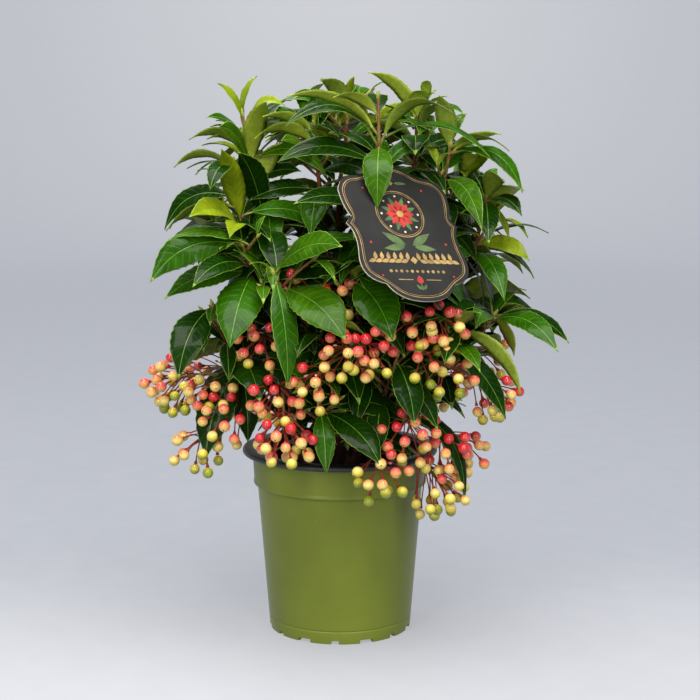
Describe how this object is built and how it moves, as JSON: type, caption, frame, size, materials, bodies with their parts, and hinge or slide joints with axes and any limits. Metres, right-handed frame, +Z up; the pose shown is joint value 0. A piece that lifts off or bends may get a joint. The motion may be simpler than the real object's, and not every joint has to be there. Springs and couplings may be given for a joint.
{
  "type": "potted coral ardisia",
  "caption": "Bushy potted shrub with glossy scalloped leaves and hanging umbels of ripening berries, in a round green plastic pot, with a dark lobed label.",
  "frame": {"origin": "centre of the flat underside of the pot, on the ground, on the pot's axis", "axes": "+Z up, the front of the plant towards -Y, +X to the right as seen from the front"},
  "size_m": [0.27, 0.2431, 0.3787],
  "materials": {
    "pot": "satin olive green plastic with fine scuffs",
    "rim": "dark grey satin plastic",
    "soil": "moist dark potting soil with fibres",
    "label": "matt charcoal card with thin gold lines",
    "bark": "brown young bark with fine ridges",
    "leaf": "glossy dark green leaves with pale scalloped edges",
    "fruit": "glossy berries, from yellow green through cream to coral red"
  },
  "bodies": {
    "root": {"pot_wall": "pot", "pot_rim": "rim", "soil": "soil", "label_card": "label", "stem_left": "bark", "stem_mid": "bark", "stem_right": "bark", "stem_front": "bark", "stem_back": "bark", "bough_left_high": "bark", "bough_left_low": "bark", "bough_front_mid": "bark", "bough_top_mid": "bark", "bough_top_right": "bark", "bough_right_mid": "bark", "bough_right_low": "bark", "bough_right_front": "bark", "bough_back_left": "bark", "bough_back_right": "bark", "bough_back_low_left": "bark", "bough_back_low_right": "bark", "leaves_top_left": "leaf", "leaves_left_high": "leaf", "leaves_left_mid": "leaf", "leaves_left_low": "leaf", "leaves_front_left": "leaf", "leaves_front_mid": "leaf", "leaves_top_mid": "leaf", "leaves_top_centre": "leaf", "leaves_top_front": "leaf", "leaves_top_right": "leaf", "leaves_right_high": "leaf", "leaves_right_mid": "leaf", "leaves_right_low": "leaf", "leaves_right_front": "leaf", "leaves_front_low": "leaf", "leaves_rim_front": "leaf", "leaves_back_left": "leaf", "leaves_back_top": "leaf", "leaves_back_right": "leaf", "leaves_back_low_left": "leaf", "leaves_back_low_right": "leaf", "leaves_back_mid": "leaf", "fruit_left_far": "fruit", "fruit_left": "fruit", "fruit_front_left": "fruit", "fruit_inner_left": "fruit", "fruit_under_leaves": "fruit", "fruit_centre": "fruit", "fruit_right": "fruit", "fruit_right_low": "fruit", "fruit_rim_right": "fruit", "fruit_over_rim": "fruit", "fruit_hanging": "fruit", "fruit_back_left": "fruit", "fruit_back_mid": "fruit", "fruit_back_right": "fruit"}
  },
  "joints": []
}
